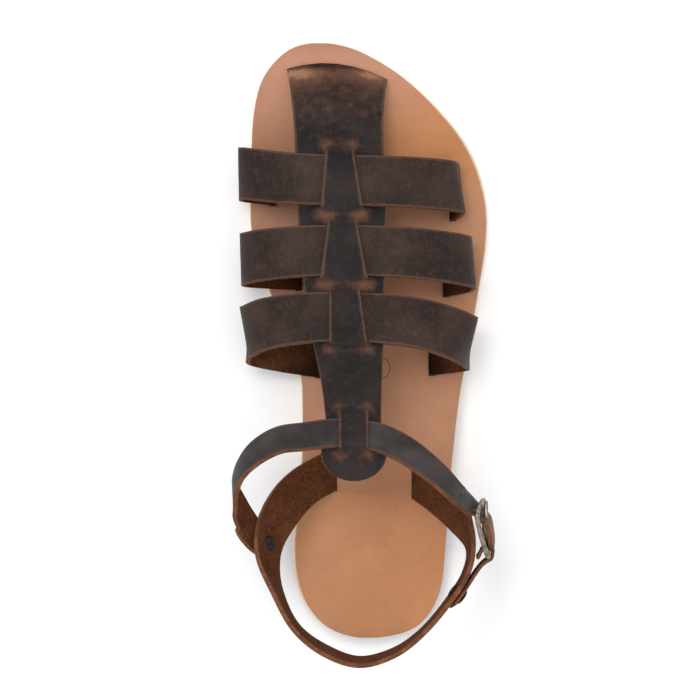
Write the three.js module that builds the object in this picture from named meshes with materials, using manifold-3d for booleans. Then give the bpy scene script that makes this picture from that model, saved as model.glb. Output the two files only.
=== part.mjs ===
// Strapped leather sandal, right foot, in millimetres.
// +X is the outer side, +Y the toe, +Z up. Work starts from the heel end of the insole on the floor.
import * as THREE from 'three';
import Module from 'manifold-3d';

const wasm = await Module();
wasm.setup();

// Sole sizes
const length = 266.4;
const ballWidth = 105.7;
const heelWidth = 67.2;
const insoleThickness = 3.6;
const outsoleThickness = 4.4;
const edgeShow = 1.2;
const edgeDressing = 0.6;
const heelLift = 8;
const heelLength = 66;
const toeSpring = 5;

// Upper sizes
const instepHeight = 48;
const ankleHeight = 78;
const ankleSpan = 104;
const strapThickness = 2.2;
const crossStrapWidth = 23;
const stripHalfWidth = 20;
const tabWidth = 12;
const heelStrapWidth = 18;
const ankleStrapWidth = 12.7;
const buckleStrapThickness = 1.6;
const buckleStrapWidth = 12.5;

// Metal sizes
const buckleLength = 24.4;
const buckleWidth = 21;
const buckleWire = 2.4;
const prongWire = 1.8;
const rivetHeadRadius = 3.4;
const rivetShankRadius = 1.3;
const rivetHeadHeight = 0.8;

// Clearances and welds
const gap = 0.3;
const slotEase = 0.5;
const weld = 0.3;

const point = (x, y, z) => new THREE.Vector3(x, y, z);

function smooth(value, low, high) {
  const t = Math.min(Math.max((value - low) / (high - low), 0), 1);
  return t * t * (3 - 2 * t);
}

// A table with named columns becomes one smooth function per column of its first column.
function curves(names, rows) {
  const at = rows.map((row) => row[0]);
  const functions = {};
  names.slice(1).forEach((name, index) => {
    const values = rows.map((row) => row[index + 1]);
    const slopes = values.map((value, i) => {
      const before = Math.max(i - 1, 0);
      const after = Math.min(i + 1, values.length - 1);
      return (values[after] - values[before]) / (at[after] - at[before]);
    });
    functions[name] = (share) => {
      const inside = Math.min(Math.max(share, at[0]), at[at.length - 1]);
      let i = 0;
      while (i < at.length - 2 && inside > at[i + 1]) i += 1;
      const step = at[i + 1] - at[i];
      const t = (inside - at[i]) / step;
      const rise = t * t * (3 - 2 * t);
      const leave = t * (1 - t) * (1 - t) * step;
      const arrive = t * t * (t - 1) * step;
      return values[i] + (values[i + 1] - values[i]) * rise + slopes[i] * leave + slopes[i + 1] * arrive;
    };
  });
  return functions;
}

// Closed solids
function solid(positions, triangles) {
  const mesh = new wasm.Mesh({
    numProp: 3,
    vertProperties: new Float32Array(positions),
    triVerts: new Uint32Array(triangles),
  });
  mesh.merge();
  return new wasm.Manifold(mesh);
}

// A row of closed rings, all with as many points, skinned and capped at both ends.
function skin(rings) {
  const positions = [];
  const triangles = [];
  const around = rings[0].length;
  rings.forEach((ring) => ring.forEach((p) => positions.push(p.x, p.y, p.z)));
  for (let i = 0; i < rings.length - 1; i += 1) {
    for (let j = 0; j < around; j += 1) {
      const a = i * around + j;
      const b = i * around + (j + 1) % around;
      triangles.push(a, b, b + around, a, b + around, a + around);
    }
  }
  const last = (rings.length - 1) * around;
  for (let j = 1; j < around - 1; j += 1) {
    triangles.push(0, j + 1, j, last, last + j, last + j + 1);
  }
  return outward(positions, triangles);
}

function outward(positions, triangles) {
  const corner = (i) => point(positions[3 * i], positions[3 * i + 1], positions[3 * i + 2]);
  let volume = 0;
  for (let i = 0; i < triangles.length; i += 3) {
    const [a, b, c] = [0, 1, 2].map((k) => corner(triangles[i + k]));
    volume += a.dot(b.cross(c));
  }
  if (volume < 0) {
    for (let i = 0; i < triangles.length; i += 3) {
      [triangles[i + 1], triangles[i + 2]] = [triangles[i + 2], triangles[i + 1]];
    }
  }
  return solid(positions, triangles);
}

// A grid of points down the middle of a piece of leather becomes that leather at its thickness.
function leather(grid, thickness) {
  const rows = grid.length;
  const columns = grid[0].length;
  const rings = grid.map((row, i) => {
    const grain = [];
    const flesh = [];
    row.forEach((p, j) => {
      const along = grid[Math.min(i + 1, rows - 1)][j].clone().sub(grid[Math.max(i - 1, 0)][j]);
      const across = row[Math.min(j + 1, columns - 1)].clone().sub(row[Math.max(j - 1, 0)]);
      const normal = along.cross(across).normalize().multiplyScalar(thickness / 2);
      grain.push(p.clone().add(normal));
      flesh.push(p.clone().sub(normal));
    });
    return grain.concat(flesh.reverse());
  });
  const positions = [];
  const triangles = [];
  const around = 2 * columns;
  rings.forEach((ring) => ring.forEach((p) => positions.push(p.x, p.y, p.z)));
  for (let i = 0; i < rows - 1; i += 1) {
    for (let j = 0; j < around; j += 1) {
      const a = i * around + j;
      const b = i * around + (j + 1) % around;
      triangles.push(a, b, b + around, a, b + around, a + around);
    }
  }
  const last = (rows - 1) * around;
  for (let j = 0; j < columns - 1; j += 1) {
    const facing = around - 1 - j;
    triangles.push(j, facing, j + 1, j + 1, facing, facing - 1);
    triangles.push(last + j, last + j + 1, last + facing, last + j + 1, last + facing - 1, last + facing);
  }
  return outward(positions, triangles);
}

// Sole outline: places are shares of the length, and sides are shares of the local width.
const outlineRows = [
  // at, inner side, outer side
  [0.013, -0.220, 0.293],
  [0.038, -0.340, 0.413],
  [0.080, -0.433, 0.493],
  [0.148, -0.473, 0.527],
  [0.232, -0.436, 0.544],
  [0.316, -0.379, 0.520],
  [0.400, -0.329, 0.482],
  [0.442, -0.315, 0.473],
  [0.501, -0.341, 0.467],
  [0.585, -0.412, 0.480],
  [0.669, -0.481, 0.509],
  [0.736, -0.492, 0.504],
  [0.820, -0.487, 0.432],
  [0.887, -0.475, 0.305],
  [0.938, -0.441, 0.170],
  [0.971, -0.381, 0.047],
  [0.992, -0.309, -0.068],
];
const heelEndSide = -0.007;
const toeEndSide = -0.203;

const localWidth = (at) => heelWidth + (ballWidth - heelWidth) * smooth(at, 0.2, 0.6);

function outlineSide(column, endsFirst) {
  const side = outlineRows.map((row) => point(row[column] * localWidth(row[0]), row[0] * length, 0));
  return endsFirst ? side : side.reverse();
}

const heelEnd = point(heelEndSide * heelWidth, 0, 0);
const toeEnd = point(toeEndSide * ballWidth, length, 0);
const outline = new THREE.CatmullRomCurve3(
  [heelEnd, ...outlineSide(1, true), toeEnd, ...outlineSide(2, false)], true, 'centripetal',
);
const outlineSamples = 720;
const outlinePoints = outline.getPoints(outlineSamples);
const innerSide = outlinePoints.slice(0, outlineSamples / 2 + 1);
const outerSide = outlinePoints.slice(outlineSamples / 2).reverse();

function sideAt(side, at) {
  const y = at * length;
  let i = 0;
  while (i < side.length - 2 && side[i + 1].y < y) i += 1;
  const t = (y - side[i].y) / (side[i + 1].y - side[i].y);
  return side[i].x + (side[i + 1].x - side[i].x) * Math.min(Math.max(t, 0), 1);
}

// How far the outsole's edge stands out from under the insole, as shares of edgeShow.
const edge = curves(['at', 'inner', 'outer'], [
  [0.00, 0.4, 0.4],
  [0.12, 1.0, 0.2],
  [0.22, 0.8, 0.1],
  [0.34, 0.2, 0.1],
  [0.68, 0.2, 0.4],
  [0.80, 0.2, 1.0],
  [0.90, 0.2, 0.9],
  [1.00, 0.3, 0.4],
]);

// Side profile: the height of the outsole's underside along the sole, flat under the ball and the heel.
const springStart = 0.78;
const springHalfway = 0.95;
const shankStart = heelLength / length + 0.04;
const shankEnd = 0.57;

function underside(at) {
  const spring = 2 * toeSpring * smooth(at, springStart, 2 * springHalfway - springStart);
  const shank = heelLift * (1 - smooth(at, shankStart, shankEnd));
  return spring + shank;
}
const outsoleTop = (at) => underside(at) + outsoleThickness;
const insoleBottom = (at) => outsoleTop(at) + gap;
const footbed = (at) => insoleBottom(at) + insoleThickness;

// A layer of the sole, with its edges dressed, between two places along the sole.
function layer({ from, to, rim, bottom, top, taper = 0 }) {
  const stations = 60;
  const rings = [];
  for (let i = 0; i <= stations; i += 1) {
    const blend = (1 - Math.cos(Math.PI * i / stations)) / 2;
    const at = from + (to - from) * blend;
    const left = sideAt(innerSide, at) - rim * edge.inner(at);
    const right = sideAt(outerSide, at) + rim * edge.outer(at);
    const low = bottom(at);
    const high = top(at);
    const section = [
      [left + edgeDressing + taper, low], [right - edgeDressing - taper, low],
      [right - taper, low + edgeDressing], [right, high - edgeDressing],
      [right - edgeDressing, high], [left + edgeDressing, high],
      [left, high - edgeDressing], [left + taper, low + edgeDressing],
    ];
    rings.push(section.map(([x, z]) => point(x, at * length, z)));
  }
  return skin(rings);
}

const tipShare = 0.0008;
const heelTaper = 0.8;

// The last's upper face, as the middle of the straps that lie on it.
// Centre and half are shares of ballWidth; the crown is shares of instepHeight and ankleHeight.
const last = curves(['at', 'centre', 'half', 'instep', 'ankle'], [
  [0.276, -0.030, 0.40, 0.00, 1.01],
  [0.319, -0.030, 0.40, 0.00, 1.015],
  [0.351, -0.030, 0.40, 0.00, 0.99],
  [0.376, -0.030, 0.40, 0.10, 0.89],
  [0.404, -0.030, 0.41, 0.30, 0.70],
  [0.434, -0.029, 0.42, 0.56, 0.45],
  [0.490, -0.029, 0.46, 0.85, 0.15],
  [0.536, -0.029, 0.480, 1.00, 0.00],
  [0.647, -0.040, 0.481, 0.80, 0.00],
  [0.764, -0.069, 0.459, 0.645, 0.00],
  [0.826, -0.082, 0.45, 0.55, 0.00],
  [0.866, -0.095, 0.44, 0.45, 0.00],
  [0.901, -0.110, 0.43, 0.335, 0.00],
  [0.926, -0.120, 0.42, 0.21, 0.00],
  [0.938, -0.123, 0.41, 0.10, 0.00],
]);
const shoulderShare = 0.4;
const roundness = 2.2;

const crown = (at) => last.instep(at) * instepHeight + last.ankle(at) * ankleHeight;

// Height of the last above the footbed at a side place, on its upper face.
function lastHeight(x, at) {
  const shoulder = crown(at) * shoulderShare;
  const side = Math.min(Math.abs(x - last.centre(at) * ballWidth) / (last.half(at) * ballWidth), 0.98);
  return shoulder + (crown(at) - shoulder) * (1 - side ** roundness) ** (1 / roundness);
}

// A point of the last's section, from its inner bulge at 0 over the crown to its outer bulge at 1.
function lastPoint(turn, at) {
  const angle = Math.PI * (1 - turn);
  const out = Math.sign(Math.cos(angle)) * Math.abs(Math.cos(angle)) ** (2 / roundness);
  const up = Math.sin(angle) ** (2 / roundness);
  const shoulder = crown(at) * shoulderShare;
  return point(
    (last.centre(at) + out * last.half(at)) * ballWidth,
    at * length,
    footbed(at) + shoulder + (crown(at) - shoulder) * up,
  );
}

// A band of leather along a path. Each row has its place and the way its upper or rear edge faces.
function bandGrid(rows, width, perRow = 3) {
  const path = new THREE.CatmullRomCurve3(rows.map((row) => row.place), false, 'centripetal');
  const aims = new THREE.CatmullRomCurve3(
    rows.map((row) => row.aim.clone().normalize()), false, 'catmullrom',
  );
  const widths = new THREE.CatmullRomCurve3(
    rows.map((row) => point(row.wide ?? 1, 0, 0)), false, 'catmullrom',
  );
  const stations = (rows.length - 1) * perRow;
  const grid = [];
  const frames = [];
  for (let i = 0; i <= stations; i += 1) {
    const t = i / stations;
    const place = path.getPoint(t);
    const ahead = path.getTangent(t);
    const across = aims.getPoint(t);
    across.addScaledVector(ahead, -across.dot(ahead)).normalize();
    const half = across.clone().multiplyScalar(width / 2 * widths.getPoint(t).x);
    grid.push([place.clone().sub(half), place.clone(), place.clone().add(half)]);
    frames.push({ place, ahead, across, out: ahead.clone().cross(across).normalize() });
  }
  return { grid, frames };
}

// The upright end of a strap in its slot, and the slot that is cut for it.
const tailDepth = insoleThickness - gap;
const mouthRise = 2;
const slotOvershoot = 1;

function seatTails(grid) {
  const seat = (i, height) => grid[i].forEach((p) => { p.z = footbed(p.y / length) + height; });
  [0, grid.length - 1].forEach((i) => seat(i, -tailDepth));
  return grid;
}

function slot(across) {
  const [first, final] = [across[0], across[across.length - 1]];
  const spread = final.clone().sub(first).setZ(0).normalize();
  const wide = across.map((p, i) => {
    const ease = i === 0 ? -slotEase : i === across.length - 1 ? slotEase : 0;
    return p.clone().addScaledVector(spread, ease);
  });
  const levels = [-insoleThickness - slotOvershoot, slotOvershoot];
  const rows = levels.map((level) => wide.map((p) => p.clone().setZ(footbed(p.y / length) + level)));
  return leather(rows, strapThickness + 2 * slotEase);
}

// Cross straps, from the toe back. Places are shares of the length, slots are shares of ballWidth.
// The inner bow grows with innerPower towards the side.
const crossStraps = [
  {
    at: 0.7635, innerBow: 0.016, innerPower: 2, outerBow: -0.008,
    innerSlot: { side: -0.393, at: 0.771 }, outerSlot: { side: 0.370, at: 0.746 },
  },
  {
    at: 0.6468, innerBow: -0.012, innerPower: 3, outerBow: -0.017,
    innerSlot: { side: -0.284, at: 0.628 }, outerSlot: { side: 0.341, at: 0.6175 },
  },
  {
    at: 0.5365, innerBow: -0.024, innerPower: 4, outerBow: -0.040,
    innerSlot: { side: -0.200, at: 0.481 }, outerSlot: { side: 0.280, at: 0.485 },
  },
];

function slotRows(place, bulge) {
  const x = place.side * ballWidth;
  const y = place.at * length;
  const base = footbed(place.at);
  const aim = point(0, 1, 0);
  const rise = bulge.z - base;
  const out = bulge.x - x;
  const drift = bulge.y - y;
  return [
    { place: point(x, y, base - tailDepth), aim },
    { place: point(x, y, base), aim },
    { place: point(x, y, base + mouthRise), aim },
    { place: point(x + out * 0.45, y + drift * 0.25, base + mouthRise + rise * 0.16), aim },
    { place: point(x + out * 0.9, y + drift * 0.62, base + rise * 0.5), aim },
  ];
}

function crossStrapGrid(strap) {
  const bowAt = (turn) => {
    const side = Math.cos(Math.PI * turn);
    if (side < 0) return strap.at + strap.outerBow * side * side;
    return strap.at + strap.innerBow * side ** strap.innerPower;
  };
  const turns = [0, 0.08, 0.2, 0.35, 0.5, 0.65, 0.8, 0.92, 1];
  const step = 0.01;
  const over = turns.map((turn) => {
    const at = bowAt(turn);
    const aim = lastPoint(turn, at + step).sub(lastPoint(turn, at - step));
    aim.z *= Math.sin(Math.PI * turn);
    return { place: lastPoint(turn, at), aim };
  });
  const inner = slotRows(strap.innerSlot, over[0].place);
  const outer = slotRows(strap.outerSlot, over[over.length - 1].place).reverse();
  return seatTails(bandGrid([...inner, ...over, ...outer], crossStrapWidth).grid);
}

// Centre strip. Sides are shares of ballWidth, half widths are shares of stripHalfWidth.
const strip = curves(['at', 'centre', 'half', 'skew', 'arc'], [
  [0.319, -0.052, 0.69, 0.0, 0.0],
  [0.351, -0.053, 0.60, 0.0, 0.0],
  [0.376, -0.054, 0.585, 0.0, 0.0],
  [0.434, -0.062, 0.655, 0.0, 0.0],
  [0.492, -0.074, 0.750, 0.0, 0.0],
  [0.590, -0.091, 0.870, 0.0, 0.0],
  [0.7055, -0.100, 0.975, 0.0, 0.0],
  [0.819, -0.112, 0.975, 0.0, 0.0],
  [0.868, -0.117, 0.99, -0.3, 0.4],
  [0.938, -0.123, 1.08, -1.0, 1.0],
]);
const toeSkew = 2.3;
const toeArc = 4.6;
const stripColumns = 6;

function stripRow(at, lift, halfWidth, shares) {
  return shares.map((share) => {
    const x = strip.centre(at) * ballWidth + share * halfWidth;
    const shift = strip.skew(at) * toeSkew * share + strip.arc(at) * toeArc * (1 - share * share);
    return point(x, at * length + shift, footbed(at) + lastHeight(x, at) + lift);
  });
}

const acrossShares = (columns) => Array.from({ length: columns + 1 }, (_, i) => -1 + 2 * i / columns);

const toeAt = 0.938;
const toeBend = 0.012;
const flapStart = 0.319;
const flapEnd = 0.276;
const stripStations = 34;
const underLift = -(strapThickness - weld);
const overLift = strapThickness - weld;

// The toe end stands in its slot, and rises in a bend. Places are ahead of toeAt, heights are shares of the rise.
const toeTailAhead = 0.004;
const toeBendRows = [
  // ahead, height
  [0.002, 0.30],
  [-0.004, 0.75],
];

function stripGrid() {
  const shares = acrossShares(stripColumns);
  const rows = [];
  const toeHalf = strip.half(toeAt) * stripHalfWidth;
  [-tailDepth, mouthRise].forEach((level) => {
    const upright = stripRow(toeAt + toeTailAhead, 0, toeHalf, shares);
    rows.push(upright.map((p) => p.setZ(footbed(p.y / length) + level)));
  });
  const bendTop = toeAt - toeBend / 1.5;
  toeBendRows.forEach(([ahead, height]) => {
    rows.push(stripRow(bendTop, underLift, toeHalf, shares).map((p) => {
      const base = footbed(toeAt) + mouthRise;
      return point(p.x, p.y + (toeAt + ahead - bendTop) * length, base + (p.z - base) * height);
    }));
  });
  for (let i = 0; i <= stripStations; i += 1) {
    const at = toeAt - toeBend - (toeAt - toeBend - flapStart) * i / stripStations;
    rows.push(stripRow(at, underLift, strip.half(at) * stripHalfWidth, shares));
  }
  const flapHalf = strip.half(flapStart) * stripHalfWidth;
  [0.25, 0.5, 0.7, 0.85, 0.95, 0.99].forEach((share) => {
    const at = flapStart + (flapEnd - flapStart) * share;
    rows.push(stripRow(at, underLift, flapHalf * Math.sqrt(1 - share * share), shares));
  });
  return rows;
}

// Tabs lie over the straps, between two slits. Widths are shares of tabWidth, front then back.
const tabs = [
  { front: 0.822, back: 0.707, widths: [0.98, 1.60] },
  { front: 0.702, back: 0.592, widths: [1.00, 1.78] },
  { front: 0.588, back: 0.485, widths: [1.08, 1.40] },
  { front: 0.392, back: 0.314, widths: [1.02, 1.02], extra: 2 * gap },
];

const tabStations = 12;
const tabRise = 0.2;

function tabGrid(tab) {
  const rows = [];
  for (let i = 0; i <= tabStations; i += 1) {
    const t = i / tabStations;
    const at = tab.front + (tab.back - tab.front) * t;
    const over = smooth(t, 0, tabRise) * (1 - smooth(t, 1 - tabRise, 1));
    const lift = underLift + (overLift + (tab.extra ?? 0) - underLift) * over;
    const half = tabWidth / 2 * (tab.widths[0] + (tab.widths[1] - tab.widths[0]) * t);
    rows.push(stripRow(at, lift, half, acrossShares(2)));
  }
  return rows;
}

// Heel strap, from its inner slot round the heel. Side is shares of ankleSpan, at of the length,
// height of ankleHeight above the footbed of the heel, and the aim is the way of its upper edge.
const heelSeat = footbed(0.1);
const row = (side, at, height, aim, wide) => ({
  place: point(side * ankleSpan, at * length, heelSeat + height * ankleHeight),
  aim: point(...aim),
  wide,
});
const heelSlots = { inner: { side: -0.140, at: 0.283 }, outer: { side: 0.211, at: 0.269 } };

function heelSlotRows(place) {
  const base = footbed(place.at) - heelSeat;
  const aim = [0, 1, 0];
  return [
    row(place.side, place.at, (base - tailDepth) / ankleHeight, aim),
    row(place.side, place.at, base / ankleHeight, aim),
    row(place.side, place.at, (base + mouthRise) / ankleHeight, aim),
  ];
}

const heelStrapRows = [
  ...heelSlotRows(heelSlots.inner),
  row(-0.255, 0.260, 0.20, [-0.55, 0.70, 0.40]),
  row(-0.338, 0.229, 0.37, [-0.66, 0.60, 0.38]),
  row(-0.403, 0.182, 0.54, [-0.58, 0.46, 0.66]),
  row(-0.411, 0.142, 0.63, [-0.46, 0.20, 0.86]),
  row(-0.368, 0.090, 0.69, [-0.12, -0.03, 0.99]),
  row(-0.290, 0.036, 0.74, [-0.04, -0.06, 1]),
  row(-0.168, 0.000, 0.77, [-0.04, -0.10, 0.99]),
  row(-0.030, -0.017, 0.78, [0, -0.09, 1]),
  row(0.110, -0.003, 0.77, [0, -0.05, 1]),
  row(0.221, 0.027, 0.74, [0, -0.02, 1]),
  row(0.335, 0.076, 0.69, [0.02, 0, 1]),
  row(0.416, 0.126, 0.63, [0.04, 0, 1]),
  row(0.434, 0.172, 0.55, [0.10, 0.06, 0.99]),
  row(0.388, 0.214, 0.42, [0.45, 0.40, 0.80]),
  row(0.310, 0.246, 0.24, [0.60, 0.62, 0.50]),
  ...heelSlotRows(heelSlots.outer).reverse(),
];
const heelBand = bandGrid(heelStrapRows, heelStrapWidth);
seatTails(heelBand.grid);
const perRow = 3;
const innerRivetFrame = heelBand.frames[5 * perRow + 1];
const outerRivetFrame = heelBand.frames[13 * perRow + 1];

// Buckle, standing on its edge at the outer ankle
const buckleCentre = row(0.484, 0.196, 0.715, [0, 0, 1]).place;
const buckleBack = point(0.15, -0.955, -0.29).normalize();
const buckleUp = point(-0.12, -0.22, 0.95);
buckleUp.addScaledVector(buckleBack, -buckleUp.dot(buckleBack)).normalize();
const buckleOut = buckleUp.clone().cross(buckleBack).normalize();

const wireRadius = buckleWire / 2;
const limb = buckleLength / 2 - wireRadius;
const buckleTwist = -0.14;
const buckleBow = 0.5;

// A place in the buckle, which is twisted a little from its front limb to its rear one.
function inBuckle(back, up, out) {
  const turn = buckleTwist * Math.min(Math.max(back / limb, -1), 1);
  const [c, s] = [Math.cos(turn), Math.sin(turn)];
  return buckleCentre.clone().addScaledVector(buckleBack, back)
    .addScaledVector(buckleUp, up * c + out * s).addScaledVector(buckleOut, out * c - up * s);
}

function buckleFrame() {
  const stations = 36;
  const sides = 8;
  const squareness = 2 / 4.5;
  const halfUp = buckleWidth / 2 - wireRadius;
  const centre = (i) => {
    const angle = 2 * Math.PI * i / stations;
    const c = Math.cos(angle);
    const s = Math.sin(angle);
    return [limb * Math.sign(c) * Math.abs(c) ** squareness, halfUp * Math.sign(s) * Math.abs(s) ** squareness];
  };
  const positions = [];
  const triangles = [];
  for (let i = 0; i < stations; i += 1) {
    const [back, up] = centre(i);
    const [backAfter, upAfter] = centre(i + 1);
    const [backBefore, upBefore] = centre(i - 1);
    const bow = buckleBow * ((back / limb) ** 2 - 1);
    const along = point(backAfter - backBefore, upAfter - upBefore, 0).normalize();
    for (let j = 0; j < sides; j += 1) {
      const angle = 2 * Math.PI * j / sides;
      const side = wireRadius * Math.cos(angle);
      const p = inBuckle(back + along.y * side, up - along.x * side, bow + wireRadius * Math.sin(angle));
      positions.push(p.x, p.y, p.z);
      const a = i * sides + j;
      const b = i * sides + (j + 1) % sides;
      const c = ((i + 1) % stations) * sides + (j + 1) % sides;
      const d = ((i + 1) % stations) * sides + j;
      triangles.push(a, b, c, a, c, d);
    }
  }
  return outward(positions, triangles);
}

// A straight round bar between two points.
function bar(start, end, radius, sides = 10) {
  const ahead = end.clone().sub(start).normalize();
  const side = point(0, 0, 1).addScaledVector(ahead, -ahead.z).normalize();
  const other = ahead.clone().cross(side);
  return skin([start, end].map((centre) => Array.from({ length: sides }, (_, i) => {
    const angle = 2 * Math.PI * i / sides;
    return centre.clone()
      .addScaledVector(side, radius * Math.cos(angle)).addScaledVector(other, radius * Math.sin(angle));
  })));
}

const prongRadius = prongWire / 2;
const prongBase = inBuckle(limb - wireRadius - gap - prongRadius, 0, 0);
const prongTip = inBuckle(-limb - wireRadius, 0, wireRadius + gap + prongRadius + 0.2);

const buckleStrapStand = strapThickness / 2 + buckleStrapThickness / 2 + 2 * gap;
const foldNarrowing = 0.44;
const foldLean = 0.85;

// Buckle strap: from its cut end on the heel strap forward, round the buckle's rear limb and back.
function buckleStrapGrid() {
  const back = heelBand.frames[13 * perRow];
  const lying = (frame) => ({
    place: frame.place.clone().addScaledVector(frame.out, buckleStrapStand), aim: frame.across.clone(),
  });
  const turn = wireRadius + 2.4 * gap + buckleStrapThickness / 2;
  const [ahead, aside] = [Math.cos(foldLean), Math.sin(foldLean)];
  const around = (along, out) => ({
    place: inBuckle(limb + along * ahead + out * aside, 0, out * ahead - along * aside),
    aim: buckleUp.clone(),
    wide: foldNarrowing,
  });
  return bandGrid([
    lying(back), lying(outerRivetFrame),
    around(6.5, 0.6 * turn), around(3, 0.75 * turn), around(0, turn),
    around(-turn, 0), around(0, -turn), around(2.6, -0.8 * turn), around(4.6, -0.7 * turn),
  ], buckleStrapWidth);
}

const ankleStrapStand = strapThickness + gap;

// Ankle strap: from its free end out through the buckle, over the instep to the inner rivet.
function ankleStrapGrid() {
  const overProng = prongRadius + strapThickness / 2 + 2 * gap;
  const underLimb = -(wireRadius + 4 * gap + strapThickness / 2);
  const ring = (back, out, wide) => ({ place: inBuckle(back, 0, out), aim: buckleUp.clone(), wide });
  const rivet = innerRivetFrame;
  const lean = 0.15;
  const forward = rivet.across.clone().addScaledVector(rivet.ahead, -lean).normalize();
  const edgeAim = rivet.ahead.clone().addScaledVector(rivet.across, lean).normalize();
  const onHeel = (ahead, extra) => ({
    place: rivet.place.clone().addScaledVector(rivet.out, ankleStrapStand + extra).addScaledVector(forward, ahead),
    aim: edgeAim,
  });
  const onLast = (side, at) => {
    const step = 0.01;
    const touch = (place) => point(
      side * ankleSpan, place * length, footbed(place) + lastHeight(side * ankleSpan, place),
    );
    return { place: touch(at), aim: touch(at - step).sub(touch(at + step)) };
  };
  return bandGrid([
    ring(0.33 * buckleLength, overProng, 0.5),
    ring(0.24 * buckleLength, overProng, 0.95),
    ring(0.06 * buckleLength, overProng, 1),
    ring(-0.13 * buckleLength, 0.8 * overProng, 1),
    ring(-0.29 * buckleLength, 0.3 * underLimb, 0.95),
    ring(-limb, underLimb, 0.95),
    row(0.388, 0.247, 0.835, [-0.34, -0.34, 0.88]),
    row(0.287, 0.286, 0.91, [-0.46, -0.50, 0.73]),
    row(0.164, 0.323, 0.955, [-0.28, -0.82, 0.50]),
    onLast(0.060, 0.343),
    onLast(-0.050, 0.350),
    onLast(-0.150, 0.351),
    row(-0.250, 0.346, 0.945, [0.14, -0.88, 0.46]),
    row(-0.360, 0.340, 0.925, [0.36, -0.74, 0.57]),
    row(-0.454, 0.319, 0.895, [0.42, -0.52, 0.74]),
    row(-0.518, 0.290, 0.85, [0.30, -0.22, 0.93]),
    row(-0.544, 0.257, 0.79, [0.10, -0.15, 0.98]),
    row(-0.534, 0.234, 0.69, [-0.25, -0.50, 0.83]),
    row(-0.503, 0.205, 0.575, [-0.28, -0.84, 0.47]),
    onHeel(5, 1.6),
    onHeel(0, 0),
    onHeel(-5, 0),
  ], ankleStrapWidth);
}

function rivet(frame, outerFace) {
  const inside = -strapThickness / 2 - gap;
  const outside = outerFace + 2 * gap;
  const profile = [
    [0, inside - rivetHeadHeight], [rivetHeadRadius * 0.6, inside - rivetHeadHeight * 0.85],
    [rivetHeadRadius, inside - rivetHeadHeight * 0.2], [rivetHeadRadius, inside],
    [rivetShankRadius, inside], [rivetShankRadius, outside],
    [rivetHeadRadius, outside], [rivetHeadRadius, outside + rivetHeadHeight * 0.2],
    [rivetHeadRadius * 0.6, outside + rivetHeadHeight * 0.85], [0, outside + rivetHeadHeight],
  ];
  const segments = 18;
  const positions = [];
  const triangles = [];
  profile.forEach(([radius, out], i) => {
    const count = radius === 0 ? 1 : segments;
    for (let k = 0; k < count; k += 1) {
      const angle = 2 * Math.PI * k / segments;
      const p = frame.place.clone().addScaledVector(frame.out, out)
        .addScaledVector(frame.ahead, radius * Math.cos(angle))
        .addScaledVector(frame.across, radius * Math.sin(angle));
      positions.push(p.x, p.y, p.z);
    }
    if (i === 0) return;
    const before = i === 1 ? 0 : 1 + (i - 2) * segments;
    const here = 1 + (i - 1) * segments;
    for (let k = 0; k < segments; k += 1) {
      const after = (k + 1) % segments;
      if (i === 1) triangles.push(0, here + k, here + after);
      else if (radius === 0) triangles.push(before + k, here, before + after);
      else triangles.push(before + k, here + k, here + after, before + k, here + after, before + after);
    }
  });
  return outward(positions, triangles);
}

function rivetHole(frame) {
  const reach = 3 * strapThickness;
  return bar(
    frame.place.clone().addScaledVector(frame.out, -reach),
    frame.place.clone().addScaledVector(frame.out, 2 * reach),
    rivetShankRadius + gap, 16,
  );
}

// Build the pieces
const crossBands = crossStraps.map(crossStrapGrid);
const centreStrip = stripGrid();
const ankleBand = ankleStrapGrid();
const buckleBand = buckleStrapGrid();

const slots = [slot(centreStrip[0])];
[...crossBands, heelBand.grid].forEach((grid) => slots.push(slot(grid[0]), slot(grid[grid.length - 1])));

const join = (pieces) => pieces.reduce((whole, piece) => whole.add(piece));
const widened = (band) => band.map((across) => {
  const spread = across[2].clone().sub(across[0]).normalize().multiplyScalar(gap);
  return [across[0].clone().sub(spread), across[1], across[2].clone().add(spread)];
});

const insole = layer({ from: tipShare, to: 1 - tipShare, rim: 0, bottom: insoleBottom, top: footbed })
  .subtract(join(slots));
const outsole = layer({
  from: tipShare, to: 1 - tipShare, rim: edgeShow, bottom: underside, top: outsoleTop,
});
const heel = layer({
  from: tipShare, to: heelLength / length, rim: edgeShow, bottom: () => 0, top: () => heelLift, taper: heelTaper,
});
const upper = join([
  leather(centreStrip, strapThickness),
  ...crossBands.map((grid) => leather(grid, strapThickness)),
  ...tabs.map((tab) => leather(tabGrid(tab), strapThickness)),
]).subtract(leather(widened(ankleBand.grid), strapThickness + 2 * gap));
const heelStrap = leather(heelBand.grid, strapThickness)
  .subtract(rivetHole(innerRivetFrame)).subtract(rivetHole(outerRivetFrame));
const ankleStrap = leather(ankleBand.grid, strapThickness)
  .subtract(rivetHole(innerRivetFrame))
  .subtract(bar(prongBase, prongTip, prongRadius + gap));
const buckleStrap = leather(buckleBand.grid, buckleStrapThickness)
  .subtract(rivetHole(outerRivetFrame))
  .subtract(bar(inBuckle(0, 0, 0), inBuckle(limb + 1, 0, 0), prongRadius + 2 * gap));

const finishes = {
  insoleLeather: { color: '#c48a63', roughness: 0.55, metalness: 0 },
  soleLeather: { color: '#e0c49c', roughness: 0.7, metalness: 0 },
  heelLeather: { color: '#6b4630', roughness: 0.6, metalness: 0 },
  strapLeather: { color: '#46332b', roughness: 0.5, metalness: 0 },
  agedBrass: { color: '#8d8270', roughness: 0.4, metalness: 1 },
};

const sandal = new THREE.Group();

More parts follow.
